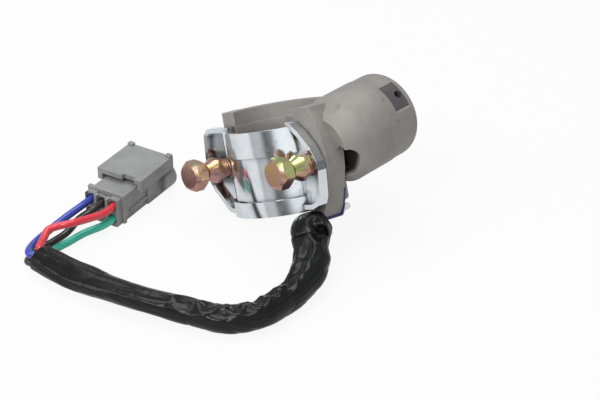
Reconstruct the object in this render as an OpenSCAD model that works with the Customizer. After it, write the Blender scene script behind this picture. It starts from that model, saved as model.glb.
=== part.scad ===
// Steering lock with ignition switch, its column strap and its wiring.
// The lock frame: X across the column, Y away from the bolt heads, Z along the column.
// The whole lock is then turned so that the key axis is +X and the harness lies on a level floor.

/* [Placing] */
// Angle of the key axis above the split plane's normal
key_tilt = 10; // [0:0.5:20]
// Lean of the lock about its key axis
lean = 24; // [0:0.5:40]
// Height of the floor under the harness
floor_z = -30; // [-45:0.5:-20]

/* [Column clamp] */
// Radius of the column tube
col_r = 20.5; // [15:0.1:30]
// Depth of the column axis behind the split plane
col_y = 7.5; // [0:0.1:12]
// Wall of the cast saddle
saddle_wall = 5.5; // [3:0.1:10]
// Lower end of the saddle along the column
saddle_z0 = -20; // [-30:0.1:-10]
// Upper end of the saddle along the column
saddle_z1 = 24; // [15:0.1:35]
// Half distance between the two bolts
bolt_x = 28; // [24:0.1:36]
// Gap between strap and casting at the split
split_gap = 0.5; // [0.2:0.1:1.5]
// Sheet thickness of the strap
sheet = 2.5; // [1.5:0.1:4]
// Upper edge of the strap
strap_z1 = 17; // [12:0.1:22]
// Lower edge of the strap
strap_z0 = -20.3; // [-26:0.1:-14]
// Lower edge of the upper raised band
band_up = 5.8; // [2:0.1:10]
// Upper edge of the lower raised band
band_low = -13.5; // [-17:0.1:-8]
// How far the two bands stand out from the middle
band_step = 1.5; // [0.3:0.1:2]
// Height of the lips around the ears
lip_h = 5; // [3:0.1:9]
// Relief in the saddle around the lock bolt
relief = 0.8; // [0.4:0.1:2]
// Relief of the bore above the column tube's end
grip_relief = 0.25; // [0.2:0.05:1]

/* [Flange and barrel] */
// Thickness of the right flange
flange_t = 10.5; // [8:0.1:14]
// Sideways place of the key axis
key_u = 26.5; // [24:0.1:34]
// Height of the key axis at the split plane
key_v = 4; // [0:0.1:10]
// Radius of the barrel
barrel_r = 19.5; // [16:0.1:24]
// Radius of the barrel's front, where it meets the flange
front_r = 13; // [10:0.1:16]
// End of the barrel's widening along the key axis
front_s = 17; // [14:0.1:20]
// Angle of the pocket in the barrel's side
pocket_a = 42; // [30:1:50]
// Place of the pocket along the key axis
pocket_s = 9.8; // [9:0.1:12]
// Radius of the pocket's ends
pocket_r = 3.6; // [2.5:0.1:4]
// Half distance between the pocket's ends
pocket_l = 4.2; // [2:0.1:5]
// Radius of the seat near the key end
seat_r = 19.2; // [15:0.1:23.5]
// Start of that seat along the key axis
seat_s = 37.6; // [37.5:0.1:39]
// Far end of the barrel along the key axis
barrel_end = 51.4; // [44:0.1:60]
// Rounding of the barrel's end
end_round = 5; // [2:0.1:8]
// Middle of the window along the key axis
window_s = 42; // [38:0.1:44]
// Offset of the hole in the retainer block toward the key end
block_hole = 2; // [0:0.1:2.4]
// Length of the window along the key axis
window_l = 9; // [6:0.1:11]
// Width of the window
window_w = 12.6; // [8:0.1:15]
// Angle of the window around the barrel
window_a = 31.5; // [0:0.5:60]

/* [Shear bolts] */
// Thread radius
bolt_r = 4; // [3:0.05:5]
// Width of the hexagon across its flats
head_af = 12.4; // [10:0.1:16]
// Place of the head's end face in front of the split
head_y = 24; // [18:0.1:30]
// Length of the hexagon
head_l = 5.6; // [4:0.1:9]
// Radius of the neck that shears
neck_r = 2.7; // [2:0.1:3.5]
// Radius of the collar at its wide end
collar_r = 6; // [5.7:0.05:6.2]
// Width of the collar across its flats
collar_af = 10.8; // [10:0.1:11.2]
// Length of the collar
collar_l = 6.2; // [4:0.1:9]
// Free shank between collar and strap
shank_free = 5.6; // [2:0.1:9]
// Depth of the threaded hole in the casting
thread_l = 7; // [5:0.1:8]

/* [Lock cylinder] */
// Start of the lock cylinder along the key axis
cyl_s = 27; // [25:0.1:32]
// Outer radius of the cylinder's sleeve
cyl_r = 12.4; // [11:0.1:13.5]
// Radius of the plug
plug_r = 9.4; // [7:0.05:11]
// Radial running clearance of turning pieces
run_gap = 0.06; // [0.02:0.01:0.1]
// Width of the keyway
key_w = 2.6; // [1.5:0.1:4]
// Height of the keyway
key_h = 8.6; // [6:0.1:10]
// Number of tumblers
tumblers_n = 7; // [5:1:9]
// Thickness of one tumbler
tumbler_t = 1.2; // [0.8:0.1:1.6]
// Pitch of the tumblers
tumbler_p = 2.4; // [2:0.1:3]
// Width of one tumbler
tumbler_w = 6.8; // [5:0.1:8]
// Height of one tumbler
tumbler_h = 16.4; // [14:0.1:16.8]
// Width of the face ring's rim
ring_w = 1.4; // [1:0.1:2]
// Thickness of the face ring
ring_t = 2.6; // [1.5:0.1:4]

/* [Drive] */
// Radius of the driver shaft
shaft_r = 4.5; // [3.5:0.05:5]
// Front end of the driver shaft along the key axis
shaft_s = 9.5; // [9:0.1:12]
// Throw of the crank pin
crank = 3.2; // [2.5:0.1:3.3]
// Radius of the crank pin
pin_r = 1.2; // [0.8:0.05:1.4]
// Turn of the key from lock to start
key_turn = 110; // [90:1:120]
// Turn of the key from lock to the unlocked pose at rest
key_rest = 80; // [70:1:90]
// Thickness of the lock bolt
lbolt_t = 5; // [4:0.1:6]
// Height of the lock bolt
lbolt_h = 6.4; // [5.8:0.1:6.8]
// Gap around the lock bolt in its channel
lbolt_gap = 0.3; // [0.2:0.05:0.6]
// Radius of the return spring's wire
swire_r = 0.35; // [0.25:0.05:0.4]
// Radius of the return spring's coil
rspring_r = 5.2; // [5:0.05:5.5]

/* [Switch] */
// Radius of the switch rotor
rotor_r = 5.8; // [5.2:0.1:6.2]
// Length of the switch rotor
rotor_l = 5; // [4:0.1:6]
// Thickness of the blue plate behind the flange
plate_t = 1; // [0.8:0.1:3]
// Thickness of the blue foot under the flange
foot_t = 1.4; // [1.2:0.1:4]
// How far the blue plate shows past the flange
plate_lip = 0.2; // [0.1:0.1:2]
// Radius of the white peg
peg_r = 1.7; // [1:0.1:2.5]
// Radius of the switch's screw head
screw_r = 1.3; // [1:0.1:1.4]
// Number of fixed contacts
contacts_n = 4; // [3:1:5]
// Pitch of the fixed contacts
contact_p = 2.4; // [2:0.1:3]
// Depth of the contact base
base_h = 5.4; // [4:0.1:5.5]
// Length of the contact base
base_l = 9.6; // [8:0.1:9.7]

/* [Harness] */
// Radius of the sleeve
sleeve_r = 6; // [4:0.1:8]
// Radius of each wire
wire_r = 1.7; // [1:0.05:2.2]
// Length of the connector
conn_l = 42; // [30:0.5:55]
// Width of the connector's shell
conn_w = 18.4; // [17.6:0.1:23]
// Start of the shell along the connector
shell_x = 23; // [20:0.1:26]
// Wall of the shell
shell_t = 1.6; // [1:0.1:2]
// Width of the block that takes the wires
rear_w = 17; // [16.8:0.1:19]
// Height of that block
rear_h = 13; // [12.6:0.1:14]
// Width of the rim around that block
rim_w = 19.4; // [17:0.1:22]
// Start of the rim along the connector
rim_x = 4; // [2:0.1:8]
// Height of the connector
conn_h = 15; // [10:0.1:20]
// Angle of the connector on the floor
conn_yaw = 12.3; // [0:0.1:30]
// Pitch of the wire cavities
cav_p = 6; // [5:0.1:7]
// Radius of one wire cavity
cav_r = 2.3; // [1.9:0.05:2.6]
// Width of the hood over the connector
hood_w = 24; // [20:0.1:30]
// Start of the hood along the connector
hood_x = 14.5; // [8:0.1:20]
// Length of the hood
hood_l = 25.4; // [18:0.1:32]
// Thickness of the hood
hood_t = 2.4; // [1.5:0.1:3.5]

/* [Hidden] */
$fn = 48;
eps = 0.02;
hex_r = head_af / 2 / cos(30);
strap_r = col_r + sheet;
shaft_gap = 0.1;
collar_y = -shank_free - sheet;
neck_y = collar_y - collar_l;
taper_y = -head_y + head_l;
window_d = seat_r - cyl_r - 0.6;
rest_angle = key_rest - key_turn / 2;
bolt_travel = 2 * crank * sin(key_turn / 2);
pin_rest = key_u + crank * sin(rest_angle);
slot_w = 2 * pin_r + 1.2;
lbolt_tail = pin_rest + slot_w / 2 + 1;
lbolt_tip = col_r + 0.1;
lbolt_y0 = 2;
lbolt_z0 = 4.9;
grip_z1 = strap_z1 + 0.4;
channel_x1 = lbolt_tail + bolt_travel * (1 - key_rest / key_turn) + 0.4;
rotor_s = 17;
block_v = rotor_r + 1.6;
exit_x = col_r + saddle_wall;
exit_y = split_gap - 0.6;
plate_x = col_r + saddle_wall + 0.5;
foot_z = -24;
conn_x = -58.1;
conn_y = 56.5;
hole_rows = [rear_h - 3.1, rear_h - 3.1 - cav_p];

// Flange outline in X and Z, from the bore's side round the outer edge
flange_pts = [[15, saddle_z1], [29, saddle_z1], [33.8, 10.4], [35.4, 2.4], [34.7, -4], [29.6, -20.5],
              [27.4, foot_z], [15, foot_z]];
// Outline of the blue plate in X and Z
plate_pts = [[plate_x, flange_pts[4][1]], flange_pts[4] + [plate_lip, 0], flange_pts[5] + [plate_lip, 0],
             flange_pts[6] + [plate_lip, -foot_t], [plate_x - 4, foot_z - foot_t],
             [plate_x - 4, foot_z - 0.05], [plate_x, foot_z - 0.05]];
// Ear outlines in X and Z
ear_right = [[14, strap_z1 + 1.8], [18.5, strap_z1 + 2], [21.6, strap_z1 + 1.2], [26.3, 14.2], [31.5, 8.1],
             [34.4, 1.4], [34.7, -2.4], [33.2, -14], [31.6, -17.4], [28, -19], [14, -19.3]];
ear_left = [[-14, strap_z1 + 1], [-33.2, strap_z1 + 1], [-36.2, strap_z1 - 1.6], [-37.6, 4.4], [-37, -6.4],
            [-35, -10.4], [-27.4, -19.4], [-25, -20.6], [-14, -20.6]];

// Harness routes on the floor, taken by eye as round points
sleeve_pts = [to_row([exit_x, exit_y, foot_z - 2.4]), to_row([exit_x - 0.4, exit_y - 6, foot_z - 3]),
              [-20.6, -36.4, -14.8], [-28.8, -43.1, -19.5], [-39.7, -47.5, floor_z + sleeve_r + 1],
              [-52, -48.9, floor_z + sleeve_r], [-63.5, -48.4, floor_z + sleeve_r],
              [-72, -44.5, floor_z + sleeve_r], [-78.5, -38, floor_z + sleeve_r],
              [-82.5, -28, floor_z + sleeve_r], [-86.5, -17.5, floor_z + sleeve_r],
              [-90.4, -7, floor_z + sleeve_r], [-94.2, 6, floor_z + sleeve_r],
              [-97.4, 20, floor_z + sleeve_r], [-99.6, 34, floor_z + sleeve_r],
              [-100.3, 47, floor_z + sleeve_r]];
mouth = sleeve_pts[len(sleeve_pts) - 1];
mouth_dir = unit(mouth - sleeve_pts[len(sleeve_pts) - 2]);
mouth_side = unit(cross(mouth_dir, [0, 0, 1]));
red_pts = [at_mouth(2.2, 2), at_mouth(2.4, 2.4, 3.5), [-92.3, 54.2, -20.6], [-88.4, 56, -19.4],
           [-83.8, 53.7, -18.4], [-78.1, 50.4, -18], at_cavity(-6, -1, 0), at_cavity(3, -1, 0)];
blue_pts = [at_mouth(-2.2, 2), at_mouth(-2.4, 2, 5), [-95.5, 57.6, -23.8], [-82, 62, -24.4],
            [-73.1, 61.8, -22.2], at_cavity(-6, 1, 0), at_cavity(3, 1, 0)];
green_pts = [at_mouth(2.2, -2), at_mouth(2.8, -2.8, 2.5), [-88, 52.8, -28.2], [-80.4, 52.9, -28.2],
             [-71.7, 52.5, -27.6], at_cavity(-6, -1, 1), at_cavity(3, -1, 1)];
black_pts = [at_mouth(-2.2, -2), at_mouth(-2.4, -2.8, 6), [-92.5, 57.4, -28.2], [-84.5, 58, -28.2],
             [-77, 58.4, -27.6], [-70, 58.2, -24], at_cavity(-6, 0, 0), at_cavity(3, 0, 0)];

function unit(v) = v / norm(v);
function turn_x(v, a) = [v[0], v[1] * cos(a) - v[2] * sin(a), v[1] * sin(a) + v[2] * cos(a)];
function turn_y(v, a) = [v[0] * cos(a) + v[2] * sin(a), v[1], v[2] * cos(a) - v[0] * sin(a)];
function to_row(v) = let (w = turn_y(turn_x(v - [0, col_y, 0], -key_tilt), -lean)) [w[1], -w[0], w[2]];
function at_mouth(side, up, out = 0.4) = mouth + mouth_dir * out + mouth_side * side + [0, 0, up];
function at_cavity(along, col, row) =
    [conn_x + along * cos(conn_yaw) - col * cav_p * sin(conn_yaw),
     conn_y + along * sin(conn_yaw) + col * cav_p * cos(conn_yaw), floor_z + hole_rows[row]];
function mix(a, b, c, d, t) =
    0.5 * (2 * b + (c - a) * t + (2 * a - 5 * b + 4 * c - d) * t * t + (3 * b - a - 3 * c + d) * t * t * t);
function smooth(p, k) = let (n = len(p))
    [for (i = [0 : n - 2]) for (j = [0 : k - 1])
        mix(p[max(i - 1, 0)], p[i], p[i + 1], p[min(i + 2, n - 1)], j / k), p[n - 1]];
function heading(p, i) = unit(p[min(i + 1, len(p) - 1)] - p[max(i - 1, 0)]);
function tube_ring(c, t, r, n) = let (s = unit(cross(t, [0.02, 0.03, 1])), u = cross(s, t))
    [for (k = [0 : n - 1]) c + r * (cos(360 * k / n) * s + sin(360 * k / n) * u)];
function tube_points(p, r, n) = [for (i = [0 : len(p) - 1]) each tube_ring(p[i], heading(p, i), r, n)];
function tube_faces(m, n) = concat(
    [for (i = [0 : m - 2]) for (k = [0 : n - 1])
        [i * n + k, i * n + (k + 1) % n, (i + 1) * n + (k + 1) % n, (i + 1) * n + k]],
    [[for (k = [n - 1 : -1 : 0]) k]], [[for (k = [0 : n - 1]) (m - 1) * n + k]]);
function coil(r, z0, z1, turns, per) = [for (i = [0 : turns * per])
    [r * cos(360 * i / per), r * sin(360 * i / per), z0 + (z1 - z0) * i / (turns * per)]];
function edge_shift(a, b, d) = let (t = unit(b - a)) [a + d * [-t[1], t[0]], t];
function meet(p, q) = let (k = ((q[0][0] - p[0][0]) * q[1][1] - (q[0][1] - p[0][1]) * q[1][0])
    / (p[1][0] * q[1][1] - p[1][1] * q[1][0])) p[0] + p[1] * k;
function inset(p, d) = let (n = len(p)) [for (i = [0 : n - 1])
    meet(edge_shift(p[(i + n - 1) % n], p[i], d), edge_shift(p[i], p[(i + 1) % n], d))];

module bench() {
    rotate([0, 0, -90]) rotate([0, -lean, 0]) rotate([-key_tilt, 0, 0]) translate([0, -col_y, 0]) children();
}

module on_key() {
    bench() translate([key_u, 0, key_v]) rotate([key_tilt - 90, 0, 0]) children();
}

module along_y(y0) {
    translate([0, y0, 0]) rotate([-90, 0, 0]) children();
}

module plate_xz(pts, y0, t) {
    translate([0, y0 + t, 0]) rotate([90, 0, 0]) linear_extrude(t) polygon(pts);
}

module at_connector() {
    translate([conn_x, conn_y, floor_z]) rotate([0, 0, conn_yaw]) children();
}

module tube(p, r, n) {
    polyhedron(points = tube_points(p, r, n), faces = tube_faces(len(p), n), convexity = 8);
}

module window_box(extra, depth) {
    rotate([0, 0, -window_a])
        translate([seat_r - depth, -window_w / 2 - extra, window_s - window_l / 2 - extra])
            cube([depth + 3, window_w + 2 * extra, window_l + 2 * extra]);
}

module barrel_body() {
    rotate_extrude() polygon(concat(
        [[0, shaft_s - 1.5], [front_r, shaft_s - 1.5], [barrel_r, front_s], [barrel_r, seat_s - 0.3],
         [seat_r, seat_s]],
        [for (i = [0 : 8]) [seat_r - end_round + end_round * cos(i * 11.25),
                            barrel_end - end_round + end_round * sin(i * 11.25)]],
        [[0, barrel_end]]));
}

module side_pocket() {
    rotate([0, 0, pocket_a]) translate([shaft_r + 2.4, 0, pocket_s]) {
        for (y = [-pocket_l, pocket_l]) translate([0, y, 0]) rotate([0, 90, 0])
            cylinder(r = pocket_r, h = barrel_r);
        translate([0, -pocket_l, -pocket_r]) cube([barrel_r, 2 * pocket_l, 2 * pocket_r]);
    }
}

module lock_housing() {
    color([0.61, 0.59, 0.57]) bench() difference() {
        union() {
            intersection() {
                translate([0, col_y, saddle_z0]) cylinder(r = col_r + saddle_wall, h = saddle_z1 - saddle_z0);
                translate([-60, split_gap, -40]) cube([120, 60, 80]);
            }
            translate([-27.5, split_gap, saddle_z0 + 1]) cube([9, 9.5, saddle_z1 - saddle_z0 - 1]);
            translate([-bolt_x, 0, 0]) along_y(split_gap) cylinder(r = 8, h = flange_t);
            plate_xz(flange_pts, split_gap, flange_t);
            translate([key_u, 0, key_v]) rotate([key_tilt - 90, 0, 0]) difference() {
                barrel_body();
                side_pocket();
            }
        }
        difference() {
            union() {
                translate([0, col_y, -40]) cylinder(r = col_r, h = 80, $fn = 96);
                translate([0, col_y, grip_z1]) cylinder(r = col_r + grip_relief, h = 40, $fn = 96);
            }
            translate([12.4, 2.2, grip_z1 + 0.2]) cube([12, 4.4, 3.2]);
        }
        translate([0, col_y, saddle_z0 - 40]) cylinder(r = col_r + relief, h = 40, $fn = 96);
        translate([0, col_y, lbolt_z0 - 1]) cylinder(r = col_r + relief, h = lbolt_h + 1.6, $fn = 96);
        for (s = [-1, 1]) translate([s * bolt_x, 0, 0]) along_y(-1)
            cylinder(r = bolt_r + 0.05, h = thread_l + 1.3);
        translate([col_r - 4, lbolt_y0 - lbolt_gap, lbolt_z0 - lbolt_gap])
            cube([channel_x1 - col_r + 4, lbolt_t + 2 * lbolt_gap, lbolt_h + 2 * lbolt_gap]);
        translate([key_u, 0, key_v]) rotate([key_tilt - 90, 0, 0]) barrel_hollow();
    }
}

module barrel_hollow() {
    translate([0, 0, shaft_s - 0.6]) cylinder(r = shaft_r + shaft_gap, h = cyl_s - shaft_s + 1);
    intersection() {
        translate([0, 0, 5]) cylinder(r = crank + pin_r + 0.3, h = shaft_s - 5);
        translate([-8, -8, 0]) cube([16, 7.7, 20]);
    }
    translate([0, 0, rotor_s - 0.4]) cylinder(r = rotor_r + 0.5, h = cyl_s - rotor_s + 1);
    translate([0, 0, cyl_s - 0.2]) cylinder(r = cyl_r + 0.05, h = 40);
    translate([0, 0, barrel_end - ring_t]) cylinder(r = cyl_r + ring_w + 0.05, h = 10);
    window_box(0.05, seat_r - cyl_r + 1);
    translate([-1, block_v - 1.5, rotor_s - 0.4])
        cube([contacts_n * contact_p + 0.5, base_h + 0.7, base_l + 0.6]);
}

module strap_arc(r, z0, z1) {
    difference() {
        translate([0, col_y, z0]) cylinder(r = r + sheet, h = z1 - z0, $fn = 96);
        translate([0, col_y, z0 - 1]) cylinder(r = r, h = z1 - z0 + 2, $fn = 96);
        translate([-60, 0, -60]) cube([120, 120, 120]);
    }
}

module ear(pts, side) {
    difference() {
        plate_xz(pts, -lip_h, lip_h);
        plate_xz(inset(pts, -2.1 * side), -lip_h - 1, lip_h - sheet + 1);
        translate([0, col_y, -40]) cylinder(r = col_r + band_step, h = 80, $fn = 96);
        translate([min(side, 0) * 19, -20, -40]) cube([19, 20 - sheet, 80]);
        translate([side * bolt_x, 0, 0]) along_y(-20) cylinder(r = bolt_r + 0.8, h = 30);
    }
}

module column_strap() {
    color([0.74, 0.76, 0.78]) bench() {
        strap_arc(col_r, band_low - 0.6, band_up + 0.6);
        strap_arc(col_r + band_step, band_up, strap_z1);
        strap_arc(col_r + band_step, strap_z0, band_low);
        ear(ear_right, 1);
        ear(ear_left, -1);
    }
}

module hex_bar(af, y0, y1) {
    along_y(y0) rotate([0, 0, 17]) cylinder(r = af / 2 / cos(30), h = y1 - y0, $fn = 6);
}

module turned(pts) {
    rotate([-90, 0, 0]) rotate_extrude() polygon(pts);
}

module shear_bolt() {
    intersection() {
        hex_bar(head_af, -head_y - 1, taper_y + 4);
        turned([[0, -head_y], [hex_r * 0.7, -head_y], [hex_r + 0.4, -head_y + 1.8], [hex_r + 0.4, taper_y],
                [neck_r - 0.4, taper_y + 3.2], [0, taper_y + 3.2]]);
    }
    turned([[0, taper_y + 2], [neck_r, taper_y + 2], [neck_r, neck_y + 0.2], [0, neck_y + 0.2]]);
    intersection() {
        hex_bar(collar_af, neck_y - 1, collar_y + 1);
        turned([[0, neck_y], [neck_r + 0.7, neck_y], [collar_r, collar_y - 1.1], [collar_r, collar_y],
                [0, collar_y]]);
    }
    turned([[0, collar_y - 0.2], [bolt_r - 0.05, collar_y - 0.2], [bolt_r - 0.05, thread_l - 1],
            [bolt_r - 1, thread_l], [0, thread_l]]);
}

module shear_bolts() {
    color([0.74, 0.62, 0.38]) bench() for (s = [-1, 1]) translate([s * bolt_x, 0, 0]) shear_bolt();
}

module retainer_block() {
    color([0.16, 0.16, 0.17]) on_key() difference() {
        intersection() {
            window_box(-0.1, window_d);
            cylinder(r = seat_r - 0.2, h = barrel_end);
        }
        rotate([0, 0, -window_a]) translate([seat_r - window_d - 1, 0, window_s + block_hole])
            rotate([0, 90, 0]) cylinder(r = 1.8, h = window_d + 4);
    }
}

module cylinder_sleeve() {
    color([0.72, 0.7, 0.66]) on_key() difference() {
        translate([0, 0, cyl_s]) cylinder(r = cyl_r, h = barrel_end - ring_t - cyl_s - 0.05);
        translate([0, 0, cyl_s - 1]) cylinder(r = plug_r + run_gap, h = 60);
    }
}

module face_ring() {
    color([0.1, 0.1, 0.1]) on_key() translate([0, 0, barrel_end - ring_t]) difference() {
        cylinder(r = cyl_r + ring_w, h = ring_t);
        translate([0, 0, -1]) cylinder(r = plug_r + 0.4, h = ring_t + 4);
    }
}

module tumbler_row() {
    for (i = [0 : tumblers_n - 1])
        translate([-tumbler_w / 2, -tumbler_h / 2, cyl_s + 4 + i * tumbler_p])
            cube([tumbler_w, tumbler_h, tumbler_t]);
}

module key_slot(depth, grow) {
    translate([-key_w / 2 - grow, -key_h / 2 - grow, barrel_end - depth])
        cube([key_w + 2 * grow, key_h + 2 * grow, depth + 10]);
}

module lock_plug() {
    color([0.78, 0.76, 0.7]) on_key() difference() {
        translate([0, 0, cyl_s]) cylinder(r = plug_r, h = barrel_end - cyl_s + 0.3);
        translate([-tumbler_w / 2 - 0.05, -tumbler_h / 2 - 0.05, cyl_s + 3.9])
            cube([tumbler_w + 0.1, tumbler_h + 0.1, (tumblers_n - 1) * tumbler_p + tumbler_t + 0.2]);
        key_slot(barrel_end - cyl_s - 3.5, 0);
        translate([-1.55, -4.05, cyl_s - 1]) cube([3.1, 8.1, 3.05]);
    }
}

module tumblers() {
    color([0.8, 0.65, 0.3]) on_key() difference() {
        tumbler_row();
        key_slot(barrel_end - cyl_s - 3, 0.3);
    }
}

module driver_shaft() {
    color([0.66, 0.66, 0.66]) on_key() {
        translate([0, 0, shaft_s]) cylinder(r = shaft_r, h = cyl_s - shaft_s - 0.05);
        translate([-1.5, -4, cyl_s - 1]) cube([3, 8, 2.9]);
        rotate([0, 0, rest_angle - 90]) translate([crank, 0, 4.4]) cylinder(r = pin_r, h = shaft_s - 4);
    }
}

module switch_rotor() {
    color([0.12, 0.12, 0.13]) on_key() translate([0, 0, rotor_s]) difference() {
        cylinder(r = rotor_r, h = rotor_l);
        translate([0, 0, -1]) cylinder(r = shaft_r + eps, h = rotor_l + 2);
    }
}

module contact_arm() {
    color([0.82, 0.66, 0.32]) on_key() translate([0, 0, rotor_s + rotor_l + 0.05]) difference() {
        cylinder(r = rotor_r - 0.2, h = 0.6);
        translate([0, 0, -1]) cylinder(r = shaft_r + eps, h = 3);
    }
}

module return_spring() {
    color([0.7, 0.7, 0.72]) on_key()
        tube(coil(rspring_r, rotor_s + rotor_l + 1.4, cyl_s - 0.9, 3, 12), swire_r, 6);
}

module lock_bolt() {
    color([0.55, 0.55, 0.56]) bench() difference() {
        translate([lbolt_tip, lbolt_y0, lbolt_z0]) cube([lbolt_tail - lbolt_tip, lbolt_t, lbolt_h]);
        translate([pin_rest - slot_w / 2, lbolt_y0 - 1, lbolt_z0 - 1])
            cube([slot_w, lbolt_t + 2, lbolt_h - 0.3]);
    }
}

module switch_body() {
    color([0.13, 0.17, 0.5]) bench() difference() {
        union() {
            plate_xz(plate_pts, split_gap + flange_t + 0.05, plate_t);
            translate([col_r - 2, split_gap + 0.4, foot_z - foot_t])
                cube([flange_pts[6][0] + plate_lip - col_r + 2, flange_t + plate_t - 0.35, foot_t - 0.05]);
        }
        translate([0, col_y, -40]) cylinder(r = col_r + 1, h = 80);
        translate([key_u, 0, key_v]) rotate([key_tilt - 90, 0, 0]) cylinder(r = barrel_r + 0.1, h = 40);
    }
}

module contact_base() {
    color([0.13, 0.17, 0.5]) on_key() translate([-0.9, block_v - 0.9, rotor_s - 0.3])
        cube([contacts_n * contact_p + 0.3, base_h, base_l]);
}

module contact_strips() {
    color([0.82, 0.66, 0.32]) on_key() for (i = [0 : contacts_n - 1])
        translate([-0.6 + i * contact_p, block_v - 1.35, rotor_s + 1])
            cube([contact_p - 1, 0.45, base_l - 2.6]);
}

module switch_peg() {
    color([0.92, 0.92, 0.9]) bench() translate([flange_pts[5][0] - 0.8, 0, flange_pts[5][1] - 1.2])
        along_y(split_gap + flange_t + plate_t + 0.1) cylinder(r1 = peg_r, r2 = peg_r * 0.8, h = 2.6);
}

module switch_screw() {
    color([0.7, 0.7, 0.7]) bench() translate([plate_x - 0.2, 0, foot_z + 0.4])
        along_y(split_gap + flange_t + plate_t + 0.1)
        cylinder(r = screw_r, h = 1.2);
}

module sleeve() {
    color([0.05, 0.05, 0.05]) tube(smooth(sleeve_pts, 2), sleeve_r, 12);
}

module wire_red() {
    color([0.75, 0.12, 0.1]) tube(smooth(red_pts, 2), wire_r, 8);
}

module wire_blue() {
    color([0.15, 0.3, 0.65]) tube(smooth(blue_pts, 2), wire_r, 8);
}

module wire_green() {
    color([0.1, 0.45, 0.25]) tube(smooth(green_pts, 2), wire_r, 8);
}

module wire_black() {
    color([0.06, 0.06, 0.06]) tube(smooth(black_pts, 2), wire_r, 8);
}

module connector_housing() {
    color([0.45, 0.45, 0.46]) at_connector() difference() {
        union() {
            translate([0, -rear_w / 2, 0]) cube([shell_x + 1, rear_w, rear_h]);
            translate([rim_x, -rim_w / 2, 0]) cube([1.8, rim_w, rear_h + 1.3]);
            translate([shell_x, -conn_w / 2, 0]) cube([conn_l - shell_x, conn_w, conn_h]);
            translate([conn_l - 7.5, -conn_w / 2 - 1.3, 1.5]) cube([5, conn_w + 2.6, conn_h - 7]);
            for (s = [-1, 1])
                translate([rim_x + 6, s * (rear_w / 2 - 0.5) - 1, 3]) cube([shell_x - rim_x - 5.5, 2, 1.6]);
        }
        for (i = [-1 : 1]) for (r = hole_rows)
            translate([-1, i * cav_p, r]) rotate([0, 90, 0]) cylinder(r = cav_r, h = shell_x + 4);
        for (i = [-1 : 1]) translate([-1, i * cav_p - cav_r, hole_rows[0]]) cube([2.6, 2 * cav_r, cav_p]);
        translate([shell_x + 2, -conn_w / 2 + shell_t, shell_t])
            cube([conn_l, conn_w - 2 * shell_t, conn_h - 2 * shell_t]);
        translate([rim_x - 1.5, -4, rear_h - 1.4]) cube([1.5, 8, 3]);
    }
}

module connector_hood() {
    color([0.47, 0.47, 0.48]) at_connector() {
        difference() {
            translate([hood_x, -hood_w / 2, conn_h - 3.4]) cube([hood_l, hood_w, 3.4 + hood_t + 0.05]);
            translate([hood_x - 1, -conn_w / 2 - 0.4, conn_h - 6]) cube([hood_l + 2, conn_w + 0.8, 6.05]);
            translate([hood_x - 1, -hood_w / 2 + 4, conn_h - 6]) cube([2.8, 6.5, 12]);
        }
        for (s = [-1, 1])
            translate([hood_x + hood_l - 2.4, s * (hood_w / 2 - 1.6) - 1.4, conn_h + hood_t])
                cube([2.4, 2.8, 1.3]);
    }
}

module connector_terminals() {
    color([0.8, 0.72, 0.5]) at_connector() for (p = [[1, 0], [0, 0], [-1, 0], [-1, 1]])
        translate([4, p[0] * cav_p, hole_rows[p[1]]]) {
            translate([0, -1.2, -1.2]) cube([shell_x - 1, 2.4, 2.4]);
            translate([shell_x - 1.2, -1, -0.4]) cube([6, 2, 0.8]);
        }
}

lock_housing();
column_strap();
shear_bolts();
retainer_block();
cylinder_sleeve();
face_ring();
lock_plug();
tumblers();
driver_shaft();
switch_rotor();
contact_arm();
return_spring();
lock_bolt();
switch_body();
contact_base();
contact_strips();
switch_peg();
switch_screw();
sleeve();
wire_red();
wire_blue();
wire_green();
wire_black();
connector_housing();
connector_hood();
connector_terminals();
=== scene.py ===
import math

import bmesh
import bpy
from mathutils import Matrix, Vector, noise


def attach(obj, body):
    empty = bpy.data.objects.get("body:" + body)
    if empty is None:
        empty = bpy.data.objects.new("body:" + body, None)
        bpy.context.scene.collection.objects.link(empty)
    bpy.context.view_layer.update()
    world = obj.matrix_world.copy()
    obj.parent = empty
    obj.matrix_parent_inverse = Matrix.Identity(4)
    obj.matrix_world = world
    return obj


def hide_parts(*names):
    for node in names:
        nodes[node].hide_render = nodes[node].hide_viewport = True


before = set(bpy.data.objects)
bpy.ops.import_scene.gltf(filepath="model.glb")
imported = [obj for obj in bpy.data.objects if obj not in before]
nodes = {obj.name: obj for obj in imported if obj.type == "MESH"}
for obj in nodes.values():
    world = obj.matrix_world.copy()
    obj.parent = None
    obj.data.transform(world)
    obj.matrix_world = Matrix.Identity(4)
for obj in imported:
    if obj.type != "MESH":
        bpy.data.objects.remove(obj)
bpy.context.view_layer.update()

print("frame loaded:", len(nodes), "nodes")

mm = 0.001


cameraSetup = {
    "place": (-441.93, -411.05, 363.82),
    "right": (0.6769, -0.7360, 0.0111),
    "up": (0.3888, 0.3703, 0.8436),
    "back": (-0.6250, -0.5667, 0.5368),
    "sensor": 36.0,
    "lens": 96.0,  # 1600 px over a frame 600 px wide
}


def makeCamera(s):
    data = bpy.data.cameras.new("photoCamera")
    data.sensor_fit = "HORIZONTAL"
    data.sensor_width = s["sensor"]
    data.lens = s["lens"]
    data.clip_start = 0.01
    camera = bpy.data.objects.new("photoCamera", data)
    turn = Matrix((s["right"], s["up"], s["back"])).transposed().to_4x4()
    camera.matrix_world = Matrix.Translation(Vector(s["place"]) * mm) @ turn
    bpy.context.collection.objects.link(camera)
    bpy.context.scene.camera = camera


makeCamera(cameraSetup)
bpy.context.scene.view_settings.view_transform = "Standard"
print("camera placed")


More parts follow.
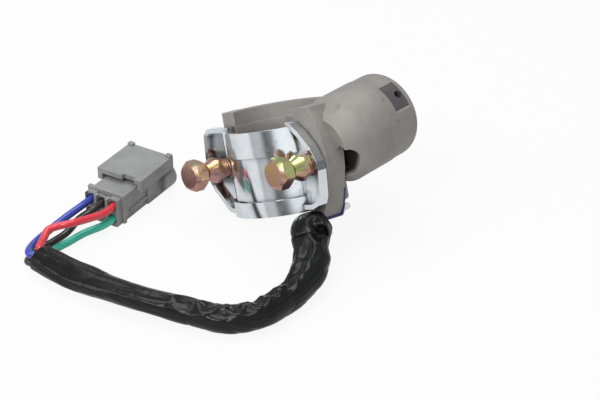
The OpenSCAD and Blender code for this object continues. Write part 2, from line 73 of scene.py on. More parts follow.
class Sock:
    # wraps one output socket, so that maths reads as maths
    def __init__(self, tree, out):
        self.tree = tree
        self.out = out

    def calc(self, operation, a, b):
        node = self.tree.nodes.new("ShaderNodeMath")
        node.operation = operation
        for place, value in zip(node.inputs, (a, b)):
            plug(self.tree, place, value)
        return Sock(self.tree, node.outputs[0])

    def __add__(self, other):
        return self.calc("ADD", self, other)

    def __radd__(self, other):
        return self.calc("ADD", other, self)

    def __sub__(self, other):
        return self.calc("SUBTRACT", self, other)

    def __rsub__(self, other):
        return self.calc("SUBTRACT", other, self)

    def __mul__(self, other):
        return self.calc("MULTIPLY", self, other)

    def __rmul__(self, other):
        return self.calc("MULTIPLY", other, self)

    def __pow__(self, other):
        return self.calc("POWER", self, other)

    def __rpow__(self, other):
        return self.calc("POWER", other, self)


def plug(tree, place, value):
    if isinstance(value, Sock):
        tree.links.new(value.out, place)
    elif hasattr(place.default_value, "__len__") and len(place.default_value) == 4 and len(value) == 3:
        place.default_value = (*value, 1.0)
    else:
        place.default_value = value


class Finish:
    # one material and the nodes it is made of
    def __init__(self, name, owner=None):
        self.material = owner or bpy.data.materials.new(name)
        self.material.use_nodes = True
        self.tree = self.material.node_tree
        self.shader = self.tree.nodes["Background" if owner else "Principled BSDF"]

    def make(self, kind, settings=None, out=0, sockets=(), **inputs):
        node = self.tree.nodes.new(kind)
        for key, value in (settings or {}).items():
            if key == "stops":
                ramp = node.color_ramp
                while len(ramp.elements) < len(value):
                    ramp.elements.new(0.5)
                for element, (place, color) in zip(ramp.elements, value):
                    element.position = place
                    element.color = (*color, 1.0)
            else:
                setattr(node, key, value)
        for place, value in zip(node.inputs, sockets):
            plug(self.tree, place, value)
        for key, value in inputs.items():
            name = key.replace("_", " ")
            place = next(i for i in node.inputs if i.enabled and i.name == name)
            plug(self.tree, place, value)
        if isinstance(out, str):
            return Sock(self.tree, next(o for o in node.outputs if o.enabled and o.name == out))
        return Sock(self.tree, node.outputs[out])

    def coords(self, kind="Object"):
        return self.make("ShaderNodeTexCoord", out=kind)

    def stretch(self, vector, scale):
        return self.make("ShaderNodeMapping", Vector=vector, Scale=scale)

    def cloud(self, vector, scale, detail=3.0, rough=0.55):
        return self.make("ShaderNodeTexNoise", out="Fac", Vector=vector, Scale=scale, Detail=detail, Roughness=rough)

    def cells(self, vector, scale):
        return self.make("ShaderNodeTexVoronoi", out="Distance", Vector=vector, Scale=scale)

    def band(self, value, low, high, start=0.0, end=1.0):
        return self.make("ShaderNodeMapRange", {"clamp": True}, Value=value, From_Min=low, From_Max=high,
                         To_Min=start, To_Max=end)

    def blend(self, amount, first, second):
        return self.make("ShaderNodeMix", {"data_type": "RGBA"}, out="Result", Factor=amount, A=first, B=second)

    def dot(self, first, second):
        return self.make("ShaderNodeVectorMath", {"operation": "DOT_PRODUCT"}, "Value", (first, second))

    def bump(self, height, strength, depth):
        return self.make("ShaderNodeBump", Strength=strength, Distance=depth, Height=height)

    def set(self, **inputs):
        for key, value in inputs.items():
            plug(self.tree, self.shader.inputs[key.replace("_", " ")], value)
        return self.material


castLook = {
    "pale": (0.282, 0.265, 0.248), "dark": (0.230, 0.215, 0.200), "speck": (0.12, 0.11, 0.102),
    # the near-black tone is painted shade for the pocket's hollow
    "edge": (0.44, 0.42, 0.40), "pocketShadow": (0.012, 0.011, 0.010),
    "grain": (2300.0, 5.0, 0.65), "patch": (70.0, 4.0, 0.6), "pits": 900.0,
    "pitRange": (0.05, 0.22), "patchRange": (0.34, 0.66), "speckRange": (0.60, 0.82, 0.0, 0.55),
    # paler edges, partly wear and partly painted highlight: bevel radius in metres, ranges of turn and patch, and
    # share
    "edgeRadius": 0.0007, "turnRange": (0.01, 0.12), "wornRange": (0.3, 0.6), "edgeWearAndHighlightShare": 0.7,
    "metal": 0.25, "roughRange": (0.3, 0.7, 0.5, 0.68), "grainHeight": 0.7, "pitHeight": 0.3,
    "bump": (0.55, 0.00024),
    # the pocket in the barrel's side, where shade is painted, in metres: a point of the key's axis, the way out and
    # the way across
    "pocket": (0.0031, -0.0221, 0.0156), "aim": (0.0, -0.951, -0.309), "across": (0.0, -0.309, 0.951),
    "halfLong": 0.004, "halfWide": 0.008, "squareBlur": 0.0000005,
    "outRange": (0.002, 0.003), "depthRange": (0.0003, 0.0024),
    # the plane of the flange's back, which ends the pocket
    "flange": (0.9848, -0.0706, -0.1586), "backRange": (0.0035, 0.0037),
    # the barrel's radius at the pocket's middle and its growth along the axis
    "skin": 0.0143, "cone": 0.722,
    # small casting marks on the barrel: place, radius and share of the speck's tone
    "marks": [((0.0081, -0.0238, 0.0334), 0.0017, 0.5), ((0.0279, -0.0326, 0.0320), 0.0010, 0.6),
              ((0.0298, -0.0398, 0.0237), 0.0011, 0.5)],
    "markCore": 0.3, "markSink": 2.0,
}


def pocketShade(f, at, s):
    # mask of the painted shade in the pocket: 1 inside the pocket, 0 elsewhere
    off = f.make("ShaderNodeVectorMath", {"operation": "SUBTRACT"}, "Vector", (at, s["pocket"]))
    out = f.dot(off, s["aim"])
    aside = f.dot(off, s["across"])
    along = f.make("ShaderNodeSeparateXYZ", out="X", Vector=off)
    reach = (out * out + aside * aside) ** 0.5
    inside = f.band(s["skin"] + along * s["cone"] - reach, *s["depthRange"])
    for way, half in ((along, s["halfLong"]), (aside, s["halfWide"])):
        inside = inside * f.band(way * way, half ** 2, half ** 2 + s["squareBlur"], 1.0, 0.0)
    return inside * f.band(out, *s["outRange"]) * f.band(f.dot(at, s["flange"]), *s["backRange"])


def makeCast(s):
    f = Finish("castZinc")
    at = f.coords()
    grain = f.cloud(at, *s["grain"])
    patch = f.cloud(at, *s["patch"])
    pits = f.band(f.cells(at, s["pits"]), *s["pitRange"])
    tone = f.blend(f.band(patch, *s["patchRange"]), s["dark"], s["pale"])
    tone = f.blend(f.band(grain, *s["speckRange"]), tone, s["speck"])
    rounded = f.make("ShaderNodeBevel", {"samples": 4}, Radius=s["edgeRadius"])
    flat = f.make("ShaderNodeNewGeometry", out="Normal")
    # paler edges: partly wear, partly a painted highlight where the surface turns
    wornAndLitEdge = f.band(1.0 - f.dot(rounded, flat), *s["turnRange"]) * f.band(patch, *s["wornRange"])
    tone = f.blend(wornAndLitEdge * s["edgeWearAndHighlightShare"], tone, s["edge"])
    # painted shade: the pocket is darkened to near black, like the dark inside of the barrel seen through a hole
    tone = f.blend(pocketShade(f, at, s), tone, s["pocketShadow"])
    height = grain * s["grainHeight"] + pits * s["pitHeight"]
    for spot, size, share in s["marks"]:
        far = f.make("ShaderNodeVectorMath", {"operation": "DISTANCE"}, "Value", (at, spot))
        mark = f.band(far, size * s["markCore"], size, share, 0.0)
        tone = f.blend(mark, tone, s["speck"])
        height = height - mark * s["markSink"]
    return f.set(Base_Color=tone, Metallic=s["metal"], Roughness=f.band(grain, *s["roughRange"]),
                 Normal=f.bump(height, *s["bump"]))


zincLook = {
    "bright": (0.76, 0.78, 0.80), "blue": (0.62, 0.67, 0.71), "dull": (0.48, 0.50, 0.51),
    # painted shade: the tone of corners and of the surface under overhangs
    "paintedCornerShade": (0.10, 0.105, 0.11),
    "wave": (90.0, 3.0), "fine": (700.0, 4.0, 0.6), "finePull": (1.0, 1.0, 6.0), "stain": (260.0, 4.0, 0.65),
    "waveRange": (0.36, 0.66), "stainRange": (0.58, 0.74, 0.0, 0.3),
    "cornerReach": 0.0035, "cornerRange": (0.35, 0.9, 0.85, 0.0),
    "roughRange": (0.3, 0.7, 0.09, 0.14), "stainRough": (0.55, 0.75, 0.0, 0.06), "bump": (0.008, 0.0006),
}


def makeZinc(s):
    f = Finish("brightZinc")
    at = f.coords()
    wave = f.cloud(at, *s["wave"])
    fine = f.cloud(f.stretch(at, s["finePull"]), *s["fine"])
    stain = f.cloud(at, *s["stain"])
    tone = f.blend(f.band(wave, *s["waveRange"]), s["bright"], s["blue"])
    tone = f.blend(f.band(stain, *s["stainRange"]), tone, s["dull"])
    # painted shade: corners and the surface under overhangs are darkened by ambient occlusion
    paintedCornerShade = f.make("ShaderNodeAmbientOcclusion", {"samples": 6}, "AO", Distance=s["cornerReach"])
    tone = f.blend(f.band(paintedCornerShade, *s["cornerRange"]), tone, s["paintedCornerShade"])
    rough = f.band(fine, *s["roughRange"]) + f.band(stain, *s["stainRough"])
    return f.set(Base_Color=tone, Metallic=1.0, Roughness=rough, Normal=f.bump(wave, *s["bump"]))


passivateLook = {
    "gold": (0.45, 0.31, 0.12), "rose": (0.50, 0.28, 0.26), "green": (0.45, 0.47, 0.2), "bronze": (0.38, 0.21, 0.16),
    # the film's colours by level; the level is random film thickness plus a painted reflection tint by which way a
    # facet faces
    "film": [(0.1, "bronze"), (0.45, "rose"), (0.58, "gold"), (0.7, "rose"), (0.9, "green")],
    "filmNoise": (62.0, 2.0, 0.45), "paintedFacetShare": 0.28, "levelRange": (0.2, 0.9),
    "fine": (1500.0, 3.0), "roughRange": (0.3, 0.7, 0.24, 0.36), "bump": (0.05, 0.0001),
}


def makePassivate(s):
    f = Finish("yellowPassivate")
    at = f.coords()
    film = f.cloud(at, *s["filmNoise"])
    # painted reflection: facets get a film colour by how they face, standing in for the colours the film shows at
    # different angles
    paintedFacetReflection = f.make("ShaderNodeSeparateXYZ", out="Z", Vector=f.coords("Normal"))
    level = f.band(film + paintedFacetReflection * s["paintedFacetShare"], *s["levelRange"])
    tone = f.make("ShaderNodeValToRGB", {"stops": [(place, s[color]) for place, color in s["film"]]}, Fac=level)
    fine = f.cloud(at, *s["fine"])
    return f.set(Base_Color=tone, Metallic=1.0, Roughness=f.band(fine, *s["roughRange"]),
                 Normal=f.bump(fine, *s["bump"]))


plasticLook = {"fineNoise": (3.0, 0.6), "broad": (110.0, 3.0, 0.55), "toneRange": (0.34, 0.68),
               "wornRange": (0.35, 0.7), "smoother": 0.06, "rougher": 0.1, "coatRough": 0.2, "bump": 0.25}


def makePlastic(name, pale, dark, rough, grain=1800.0, depth=0.00006, coat=0.0, s=plasticLook):
    f = Finish(name)
    at = f.coords()
    fine = f.cloud(at, grain, *s["fineNoise"])
    broad = f.cloud(at, *s["broad"])
    tone = f.blend(f.band(broad, *s["toneRange"]), pale, dark)
    worn = f.band(broad, *s["wornRange"], rough - s["smoother"], rough + s["rougher"])
    f.set(Coat_Weight=coat, Coat_Roughness=s["coatRough"])
    return f.set(Base_Color=tone, Roughness=worn, Normal=f.bump(fine, s["bump"], depth))


metalLook = {"pull": (8.0, 1.0, 1.0), "lines": (800.0, 4.0, 0.6), "broad": (180.0, 3.0), "toneRange": (0.35, 0.68),
             "lineRange": (0.3, 0.7), "smoother": 0.08, "rougher": 0.1, "bump": (0.15, 0.0001)}


def makeMetal(name, pale, dark, rough, s=metalLook):
    f = Finish(name)
    at = f.coords()
    lines = f.cloud(f.stretch(at, s["pull"]), *s["lines"])
    broad = f.cloud(at, *s["broad"])
    tone = f.blend(f.band(broad, *s["toneRange"]), pale, dark)
    worn = f.band(lines, *s["lineRange"], rough - s["smoother"], rough + s["rougher"])
    return f.set(Base_Color=tone, Metallic=1.0, Roughness=worn, Normal=f.bump(lines, *s["bump"]))


sheathLook = {
    "black": (0.006, 0.006, 0.0065), "dust": (0.016, 0.0155, 0.015),
    "creaseNoise": (130.0, 3.0, 0.5), "dustNoise": (900.0, 4.0, 0.7), "dustRange": (0.52, 0.78, 0.0, 0.6),
    "roughRange": (0.3, 0.7, 0.16, 0.34), "dustRough": (0.55, 0.8, 0.0, 0.16), "gloss": 0.24, "bump": (0.12, 0.0011),
}


def makeSheath(s):
    f = Finish("blackSheath")
    at = f.coords()
    crease = f.cloud(at, *s["creaseNoise"])
    dust = f.cloud(at, *s["dustNoise"])
    tone = f.blend(f.band(dust, *s["dustRange"]), s["black"], s["dust"])
    rough = f.band(crease, *s["roughRange"]) + f.band(dust, *s["dustRough"])
    f.set(Specular_IOR_Level=s["gloss"])
    return f.set(Base_Color=tone, Roughness=rough, Normal=f.bump(crease, *s["bump"]))


coverLook = {"rough": 0.3, "grain": 900.0, "depth": 0.00005, "coat": 0.25}  # shared by the four wires

finishes = {
    "casting": makeCast(castLook),
    "zinc": makeZinc(zincLook),
    "passivate": makePassivate(passivateLook),
    "retainer": makePlastic("darkRetainer", (0.076, 0.071, 0.074), (0.06, 0.056, 0.058), 0.5),
    "black": makePlastic("blackMoulding", (0.022, 0.022, 0.023), (0.014, 0.014, 0.015), 0.42),
    "blue": makePlastic("blueMoulding", (0.015, 0.019, 0.13), (0.011, 0.014, 0.09), 0.4),
    "white": makePlastic("whiteMoulding", (0.82, 0.82, 0.80), (0.74, 0.74, 0.71), 0.4),
    "grey": makePlastic("greyMoulding", (0.255, 0.255, 0.253), (0.205, 0.205, 0.205), 0.44, 1500.0, 0.00008),
    "brass": makeMetal("stampedBrass", (0.80, 0.60, 0.26), (0.62, 0.43, 0.16), 0.32),
    "steel": makeMetal("turnedSteel", (0.62, 0.62, 0.63), (0.46, 0.46, 0.47), 0.3),
    "plug": makeMetal("plugFace", (0.72, 0.70, 0.66), (0.55, 0.53, 0.50), 0.28),
    "sheath": makeSheath(sheathLook),
    "red": makePlastic("redCover", (0.66, 0.035, 0.055), (0.54, 0.022, 0.035), **coverLook),
    "navy": makePlastic("blueCover", (0.03, 0.05, 0.37), (0.022, 0.036, 0.27), **coverLook),
    "green": makePlastic("greenCover", (0.026, 0.46, 0.32), (0.02, 0.36, 0.25), **coverLook),
    "dark": makePlastic("blackCover", (0.016, 0.016, 0.016), (0.01, 0.01, 0.01), **coverLook),
}
print("finishes made:", len(finishes))


nodeFinish = {
    "lock_housing": "casting", "column_strap": "zinc", "shear_bolts": "passivate", "retainer_block": "retainer",
    "cylinder_sleeve": "casting", "face_ring": "black", "lock_plug": "plug", "tumblers": "brass",
    "driver_shaft": "steel", "switch_rotor": "black", "contact_arm": "brass", "return_spring": "steel",
    "lock_bolt": "steel", "switch_body": "blue", "contact_base": "blue", "contact_strips": "brass",
    "switch_peg": "white", "switch_screw": "steel", "sleeve": "sheath", "wire_red": "red", "wire_blue": "navy",
    "wire_green": "green", "wire_black": "dark", "connector_housing": "grey", "connector_hood": "grey",
    "connector_terminals": "brass",
}
edgeSetup = {
    # width of the rounded edges in mm
    "width": {"lock_housing": 0.8, "column_strap": 0.7, "shear_bolts": 0.35, "face_ring": 0.3, "lock_plug": 0.2,
              "switch_body": 0.3, "switch_peg": 0.3, "switch_screw": 0.2, "connector_housing": 0.3,
              "connector_hood": 0.35, "lock_bolt": 0.25},
    "weld": 0.000002, "segments": 3, "angle": 38,
    "evenNormals": "column_strap",  # a mirror finish, which shows uneven normals
}


def dressNode(s, name):
    piece = nodes[name]
    piece.data.materials.clear()
    piece.data.materials.append(finishes[nodeFinish[name]])
    if name not in s["width"]:
        return
    weld = piece.modifiers.new("weld", "WELD")
    weld.merge_threshold = s["weld"]
    edge = piece.modifiers.new("edge", "BEVEL")
    edge.width = s["width"][name] * mm
    edge.segments = s["segments"]
    edge.limit_method = "ANGLE"
    edge.angle_limit = math.radians(s["angle"])
    edge.use_clamp_overlap = True
    edge.harden_normals = name != s["evenNormals"]
    if name == s["evenNormals"]:
        even = piece.modifiers.new("even", "WEIGHTED_NORMAL")
        even.keep_sharp = True


for name in nodes:
    dressNode(edgeSetup, name)
print("CAD nodes dressed")


lockFrame = {"tilt": 10.0, "lean": 24.0, "columnDepth": 7.5}


def toRow(x, y, z, s=lockFrame):
    # a point of the lock's own frame, in the shared frame
    turn = Matrix.Rotation(math.radians(-90), 3, "Z") @ Matrix.Rotation(math.radians(-s["lean"]), 3, "Y")
    turn = turn @ Matrix.Rotation(math.radians(-s["tilt"]), 3, "X")
    return turn @ Vector((x, y - s["columnDepth"], z))


def smoothRoute(points, steps):
    # Catmull-Rom through the points, as in the part's source
    p = [Vector(q) for q in points]
    last = len(p) - 1
    route = []
    for i in range(last):
        a, b, c, d = p[max(i - 1, 0)], p[i], p[i + 1], p[min(i + 2, last)]
        for j in range(steps):
            t = j / steps
            route.append(0.5 * (2 * b + (c - a) * t + (2 * a - 5 * b + 4 * c - d) * t * t
                                + (3 * b - a - 3 * c + d) * t * t * t))
    return route + [p[-1]]


routeUp = Vector((0.02, 0.03, 1.0))  # never in line with a route


def routeFrames(route):
    # heading, side and up at each point of a route
    frames = []
    for i, here in enumerate(route):
        ahead = (route[min(i + 1, len(route) - 1)] - route[max(i - 1, 0)]).normalized()
        side = ahead.cross(routeUp).normalized()
        frames.append((here, ahead, side, side.cross(ahead)))
    return frames


def routeLength(route):
    return sum((b - a).length for a, b in zip(route, route[1:]))


def ringsToMesh(name, rings, finish):
    shape = bmesh.new()
    made = [[shape.verts.new(Vector(v) * mm) for v in ring] for ring in rings]
    around = len(made[0])
    for a, b in zip(made, made[1:]):
        for k in range(around):
            shape.faces.new((a[k], a[(k + 1) % around], b[(k + 1) % around], b[k]))
    shape.faces.new(list(reversed(made[0])))
    shape.faces.new(made[-1])
    bmesh.ops.recalc_face_normals(shape, faces=shape.faces)
    for face in shape.faces:
        face.smooth = len(face.verts) == 4
    mesh = bpy.data.meshes.new(name)
    shape.to_mesh(mesh)
    shape.free()
    piece = bpy.data.objects.new(name, mesh)
    piece.data.materials.append(finishes[finish])
    bpy.context.collection.objects.link(piece)
    return piece


sleeveSetup = {
    "route": [tuple(toRow(26, -0.1, -26.4)), tuple(toRow(25.6, -6.1, -27)), (-20.6, -36.4, -14.8),
              (-28.8, -43.1, -19.5), (-39.7, -47.5, -23), (-52, -48.9, -24), (-63.5, -48.4, -24),
              (-72, -44.5, -24), (-78.5, -38, -24), (-82.5, -28, -24),
              (-86.5, -17.5, -24), (-90.4, -7, -24), (-94.2, 6, -24), (-97.4, 20, -24), (-99.6, 34, -24),
              (-100.3, 47, -24)],
    "around": 80,
    "steps": 30,
    "floor": -29.9,
    # place along the sleeve, half width, half height, roll in degrees, how crumpled
    "form": [(0.0, 6.8, 5.6, 0, 0.2), (0.03, 8.2, 6.2, 0, 0.4), (0.08, 8.3, 6.2, 0, 0.5),
             (0.16, 8.0, 6.2, 0, 0.5), (0.23, 6.8, 6.2, 0, 0.6), (0.30, 6.4, 6.2, 0, 0.7),
             (0.42, 6.4, 6.1, 0, 0.7), (0.52, 6.6, 5.7, -10, 0.7), (0.62, 6.9, 5.3, -20, 0.5),
             (0.74, 7.2, 4.9, -15, 0.3), (0.86, 7.3, 4.9, 12, 0.2), (0.95, 7.0, 5.0, 12, 0.2),
             (1.0, 6.6, 5.4, 8, 0.1)],
    # noise: size around, size along in mm, shift sideways and up
    "lumps": (0.8, 0.085, 0, 0), "folds": (0.9, 0.10, 7, 0), "pleats": (1.5, 0.032, 0, 11),
    "twist": 0.028,
    "lumpDepth": 0.10, "foldDepth": 0.05, "pleatDepth": 0.04,
    # how fast a fold rises from its bottom and its weight, narrow and wide
    "narrowFold": (5, 0.9), "wideFold": (2.2, 0.6),
    "pleatRise": 4, "pleatCalm": 1.3,
    # dents: place in mm, angle, half length in mm, half spread in degrees, depth in mm (under zero for a bulge)
    "dents": [(4.5, 185, 4.5, 50, -2.2), (10, 2, 5, 40, -1.2), (10, 112, 4.5, 26, 1.8), (15, 185, 4, 50, 1.2),
              (22, 70, 6.5, 22, 1.5), (31, 74, 3.6, 24, 1.2), (39, 62, 6.5, 30, 1.9), (46, 98, 4, 22, 1.0),
              (52.5, 70, 3.6, 26, 1.5), (57, 104, 2.6, 22, -0.7), (61, 72, 3, 36, 1.8), (67, 110, 3.6, 24, 1.1),
              (71.5, 82, 2.6, 34, 1.6), (76.5, 124, 5, 22, 1.0), (82.5, 90, 2.8, 36, 1.5), (88, 126, 4.4, 22, 1.0),
              (93.5, 96, 3.2, 34, 1.2), (104, 120, 8, 22, 0.8), (124, 114, 17, 22, 0.9), (148, 128, 10, 24, 0.7)],
    # a dent's edge: how far it reaches, how it falls off, and the raised rim's height, place and width
    "dentReach": 2.5, "dentFall": 1.3, "rim": 0.22, "rimPlace": 1.45, "rimWidth": 0.16,
    # the surface's least and most distance from the middle, and where it starts to ease into the least
    "least": 4.4,
    "most": 9.2,
    "ease": 0.9,
    "wall": 0.7,
    "openDepth": 14,
}


def formAt(form, t):
    for a, b in zip(form, form[1:]):
        if t <= b[0]:
            k = (t - a[0]) / (b[0] - a[0])
            k = k * k * (3 - 2 * k)
            return [x + (y - x) * k for x, y in zip(a, b)][1:]
    return form[-1][1:]


def dentAt(s, along, angle):
    deep = 0.0
    for place, middle, length, spread, depth in s["dents"]:
        u = (along - place) / length
        if abs(u) < s["dentReach"]:
            d = math.hypot(u, ((angle - middle + 180) % 360 - 180) / spread)
            hollow = math.exp(-s["dentFall"] * d * d)
            deep += depth * (hollow - s["rim"] * math.exp(-(d - s["rimPlace"]) ** 2 / s["rimWidth"]))
    return deep


def ripple(angle, along, around, lengthwise, sideways, upward):
    # smooth noise on the sleeve's surface
    return noise.noise(Vector((math.cos(angle) * around + sideways, math.sin(angle) * around + upward,
                               along * lengthwise)))


def sleeveReach(s, angle, along, crumple):
    swirl = angle + along * s["twist"]
    lump = ripple(angle, along, *s["lumps"])
    fold = abs(ripple(swirl, along, *s["folds"]))
    pleat = abs(ripple(swirl, along, *s["pleats"]))
    (narrowRise, narrowShare), (wideRise, wideShare) = s["narrowFold"], s["wideFold"]
    cut = max(0.0, 1 - fold * narrowRise) ** 2 * narrowShare + max(0.0, 1 - fold * wideRise) * wideShare
    groove = s["pleatDepth"] * max(0.0, 1 - pleat * s["pleatRise"]) * (s["pleatCalm"] - crumple)
    return 1 + crumple * (s["lumpDepth"] * lump - s["foldDepth"] * cut) - groove


def sleeveRing(s, here, side, up, t, along, thin=0.0):
    halfWide, halfHigh, roll, crumple = formAt(s["form"], t)
    lean = math.radians(roll)
    ring = []
    for k in range(s["around"]):
        a = 2 * math.pi * k / s["around"]
        share = sleeveReach(s, a, along, crumple)
        x = (halfWide - thin) * math.cos(a) * share
        y = (halfHigh - thin) * math.sin(a) * share
        x, y = x * math.cos(lean) - y * math.sin(lean), x * math.sin(lean) + y * math.cos(lean)
        reach = math.hypot(x, y)
        spare = reach - dentAt(s, along, math.degrees(math.atan2(y, x))) - s["least"]
        spare = spare if spare > s["ease"] else s["ease"] * math.exp(spare / s["ease"] - 1)
        shrink = min(s["least"] + spare, s["most"]) / reach
        point = here + side * (x * shrink) + up * (y * shrink)
        point.z = max(point.z, s["floor"])
        ring.append(point)
    return ring


def makeSleeve(s):
    route = smoothRoute(s["route"], s["steps"])
    total = routeLength(route)
    frames = routeFrames(route)
    rings, along = [], 0.0
    for i, (here, ahead, side, up) in enumerate(frames):
        along += (here - route[i - 1]).length if i else 0.0
        rings.append(sleeveRing(s, here, side, up, along / total, along))
    # the open mouth turns in and runs back as a thin wall
    back = 0.0
    for i in range(len(frames) - 1, 0, -1):
        here, ahead, side, up = frames[i]
        rings.append(sleeveRing(s, here, side, up, (total - back) / total, total - back, s["wall"]))
        back += (here - route[i - 1]).length
        if back > s["openDepth"]:
            break
    piece = ringsToMesh("sheathSleeve", rings, "sheath")
    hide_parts("sleeve")
    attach(piece, "housing")
    path = [p * mm for p in route]
    return route


sleeveRoute = makeSleeve(sleeveSetup)
print("sleeve made:", round(routeLength(sleeveRoute)), "mm long")

wireSetup = {
    "radius": 1.7,
    "around": 20,
    "steps": 14,
    "intoMouth": 5.0,
    "connector": (-58.1, 56.5, -30.0),
    "yaw": 12.3,
    "pitch": 6.0,
    "rows": (9.9, 3.9),
    # share of the mouth place inside the sleeve and at its lip, and the lip's distance from the end
    "tuck": (0.84, 0.88),
    "lip": (0.9, 0.9),
    "pastLip": 0.4,
    "beforeCavity": -6,
    "inCavity": 3,
    # finish, name for the piece, mouth place, cavity column and row, points between
    "wires": {
        "wire_red": ("red", "wire_red", (2.2, 2.0), (-1, 0),
                     [("mouth", 2.4, 2.4, 3.5), (-92.3, 54.2, -20.6), (-88.4, 56, -19.4), (-83.8, 53.7, -18.4),
                      (-78.1, 50.4, -18)]),
        "wire_blue": ("navy", "wire_blue", (-2.2, 2.0), (1, 0),
                      [("mouth", -2.4, 2.0, 5.0), (-95.5, 57.6, -23.8), (-82, 62, -24.4), (-73.1, 61.8, -22.2)]),
        "wire_green": ("green", "wire_green", (2.2, -2.0), (-1, 1),
                       [("mouth", 2.8, -2.8, 2.5), (-88, 52.8, -28.2), (-80.4, 52.9, -28.2), (-71.7, 52.5, -27.6)]),
        "wire_black": ("dark", "wire_black", (-2.2, -2.0), (0, 0),
                       [("mouth", -2.4, -2.8, 6.0), (-92.5, 57.4, -28.2), (-84.5, 58, -28.2), (-77, 58.4, -27.6),
                        (-70, 58.2, -24)]),
    },
}


def mouthPoint(sideways, upward, out):
    end = Vector(sleeveSetup["route"][-1])
    ahead = (end - Vector(sleeveSetup["route"][-2])).normalized()
    side = ahead.cross(Vector((0, 0, 1))).normalized()
    return end + ahead * out + side * sideways + Vector((0, 0, upward))


def connectorPoint(s, along, across, height):
    ca, sa = math.cos(math.radians(s["yaw"])), math.sin(math.radians(s["yaw"]))
    return Vector(s["connector"]) + Vector((along * ca - across * sa, along * sa + across * ca, height))


def makeWire(s, name):
    finish, slot, (sideways, upward), (column, row), between = s["wires"][name]
    points = [mouthPoint(sideways * shareWide, upward * shareHigh, out) for (shareWide, shareHigh), out in (
        (s["tuck"], -s["intoMouth"]), (s["lip"], s["pastLip"]))]
    points += [mouthPoint(*q[1:]) if q[0] == "mouth" else Vector(q) for q in between]
    points += [connectorPoint(s, along, column * s["pitch"], s["rows"][row])
               for along in (s["beforeCavity"], s["inCavity"])]
    route = smoothRoute(points, s["steps"])
    rings = []
    for here, ahead, side, up in routeFrames(route):
        rings.append([here + s["radius"] * (math.cos(a) * side + math.sin(a) * up)
                      for a in (2 * math.pi * k / s["around"] for k in range(s["around"]))])
    piece = ringsToMesh("cover_" + slot, rings, finish)
    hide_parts(name)
    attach(piece, "housing")
    path = [p * mm for p in route]
    routeLength(route) * mm
    return piece


wirePieces = [makeWire(wireSetup, name) for name in wireSetup["wires"]]
print("wires made:", len(wirePieces))

threadSetup = {"boltSpread": 28.0, "from": -7.9, "to": -0.4, "pitch": 1.25, "root": 3.9, "crest": 4.3, "around": 40,
               # steps over which the thread runs out, what is left of it there, half width at root and crest
               "runOut": 12, "runOutLeft": 0.05, "halfRoot": 0.5, "halfCrest": 0.08}


def makeThread(s, sign, name):
    out = (toRow(0, 1, 0) - toRow(0, 0, 0)).normalized()
    side = (toRow(1, 0, 0) - toRow(0, 0, 0)).normalized()
    up = side.cross(out)
    turns = (s["to"] - s["from"]) / s["pitch"]
    rings = []
    for i in range(int(turns * s["around"]) + 1):
        a = 2 * math.pi * i / s["around"]
        y = s["from"] + s["pitch"] * i / s["around"]
        fade = min(1.0, i / s["runOut"], (turns * s["around"] - i) / s["runOut"])
        spoke = math.cos(a) * side + math.sin(a) * up
        centre = toRow(sign * s["boltSpread"], y, 0)
        crest = s["root"] + (s["crest"] - s["root"]) * max(fade, s["runOutLeft"])
        rings.append([centre + spoke * s["root"] - out * s["halfRoot"], centre + spoke * crest - out * s["halfCrest"],
                      centre + spoke * crest + out * s["halfCrest"], centre + spoke * s["root"] + out * s["halfRoot"]])
    piece = ringsToMesh(name, rings, "passivate")
    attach(piece, "housing")


makeThread(threadSetup, -1, "boltThreadLeft")
makeThread(threadSetup, 1, "boltThreadRight")
print("bolt threads made")


collarSetup = {
    "wall": 8.9, "bulge": 3.7, "low": 0.5, "high": 11.5, "steps": 18, "fullness": 0.6,
    # place along the connector and share of the bulge there
    "rings": [(34.1, 0.7), (34.25, 0.86), (34.6, 0.96), (35.2, 1.0), (41.0, 1.0), (41.6, 0.97), (41.9, 0.88),
              (42.0, 0.76)],
}


def makeCollar(s, sign, name):
    # the connector's mouth is rounder outside than its plain block
    rings = []
    for along, share in s["rings"]:
        loop = []
        for k in range(s["steps"] + 1):
            t = k / s["steps"]
            out = s["bulge"] * share * math.sin(math.pi * t) ** s["fullness"]
            height = s["low"] + (s["high"] - s["low"]) * t
            loop.append(connectorPoint(wireSetup, along, sign * (s["wall"] + out), height))
        rings.append(loop)
    piece = ringsToMesh(name, rings, "grey")
    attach(piece, "housing")


makeCollar(collarSetup, -1, "collarNear")
makeCollar(collarSetup, 1, "collarFar")
print("connector collar made")

stageSetup = {
    "floor": -30.1, "floorSize": 4.0, "floorTone": (0.62, 0.62, 0.62), "floorRough": 0.7,
    "white": (1.0, 1.0, 1.0), "whiteShare": 0.9,
    # how much of the white backdrop metal and glass show, on the floor and around it
    "floorMirrored": 0.5, "roomMirrored": 0.1,
    # the room's brightness by height: pale walls, a dark gap, a bright panel above it and a pale ceiling
    "room": [(0.0, 0.4), (0.49, 0.42), (0.52, 0.58), (0.565, 0.6), (0.585, 0.03), (0.63, 0.03), (0.645, 1.35),
             (0.685, 1.1), (0.76, 0.2), (1.0, 0.68)],
    "roomTint": (1.0, 1.015, 1.03),
}


def backdropRays(f, mirrored):
    # the white backdrop shows to the camera, and by a share in metal and glass
    seen, gloss, through = [f.make("ShaderNodeLightPath", out="Is " + kind + " Ray")
                            for kind in ("Camera", "Glossy", "Transmission")]
    return seen + (gloss + through) * mirrored


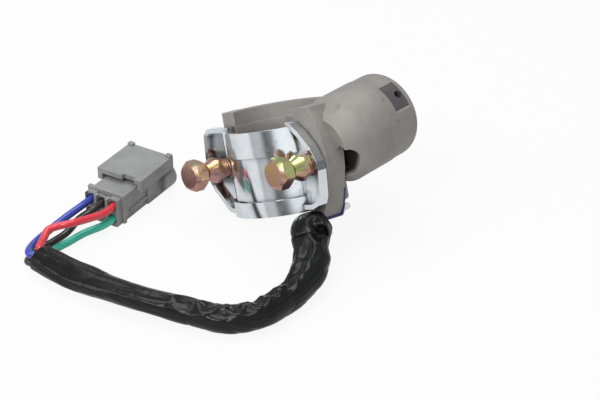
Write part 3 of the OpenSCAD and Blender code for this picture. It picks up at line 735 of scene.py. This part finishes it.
def makeFloor(s):
    shape = bmesh.new()
    half = s["floorSize"] / 2
    corners = ((-half, -half), (half, -half), (half, half), (-half, half))
    shape.faces.new([shape.verts.new((x, y, s["floor"] * mm)) for x, y in corners])
    mesh = bpy.data.meshes.new("paleFloor")
    shape.to_mesh(mesh)
    shape.free()
    floor = bpy.data.objects.new("paleFloor", mesh)
    bpy.context.collection.objects.link(floor)
    f = Finish("paleFloor")
    f.set(Base_Color=s["floorTone"], Roughness=s["floorRough"])
    seen = backdropRays(f, s["floorMirrored"])
    white = f.make("ShaderNodeEmission", Color=s["white"], Strength=1.0)
    shaded = Sock(f.tree, f.shader.outputs[0])
    mix = f.make("ShaderNodeMixShader", sockets=(seen * s["whiteShare"], shaded, white))
    plug(f.tree, f.tree.nodes["Material Output"].inputs[0], mix)
    floor.data.materials.append(f.material)


lampSetup = [
    # name, place, aim, size, watts
    ("keyLamp", (-0.95, -0.2, 1.0), (-0.03, 0.0, 0.0), 0.6, 9.5),
    ("topLamp", (0.1, 0.25, 1.2), (-0.03, 0.0, 0.0), 0.8, 8.0),
    ("sideLamp", (-1.1, 0.5, 0.6), (-0.03, 0.0, 0.0), 0.5, 3.0),
]


def makeLamp(name, place, aim, size, watts):
    data = bpy.data.lights.new(name, "AREA")
    data.energy = watts
    data.size = size
    lamp = bpy.data.objects.new(name, data)
    lamp.location = place
    lamp.rotation_euler = (Vector(aim) - Vector(place)).to_track_quat("-Z", "Y").to_euler()
    bpy.context.collection.objects.link(lamp)


def makeWorld(s):
    world = bpy.data.worlds.new("studio")
    bpy.context.scene.world = world
    f = Finish("studio", world)
    height = f.make("ShaderNodeSeparateXYZ", out="Z", Vector=f.coords("Generated"))
    stops = [(place, tuple(tone * tint for tint in s["roomTint"])) for place, tone in s["room"]]
    room = f.make("ShaderNodeValToRGB", {"stops": stops}, Fac=height * 0.5 + 0.5)
    seen = backdropRays(f, s["roomMirrored"])
    f.set(Color=f.blend(seen, room, s["white"]), Strength=1.0)


makeFloor(stageSetup)
for lamp in lampSetup:
    makeLamp(*lamp)
makeWorld(stageSetup)
print("stage and light made")
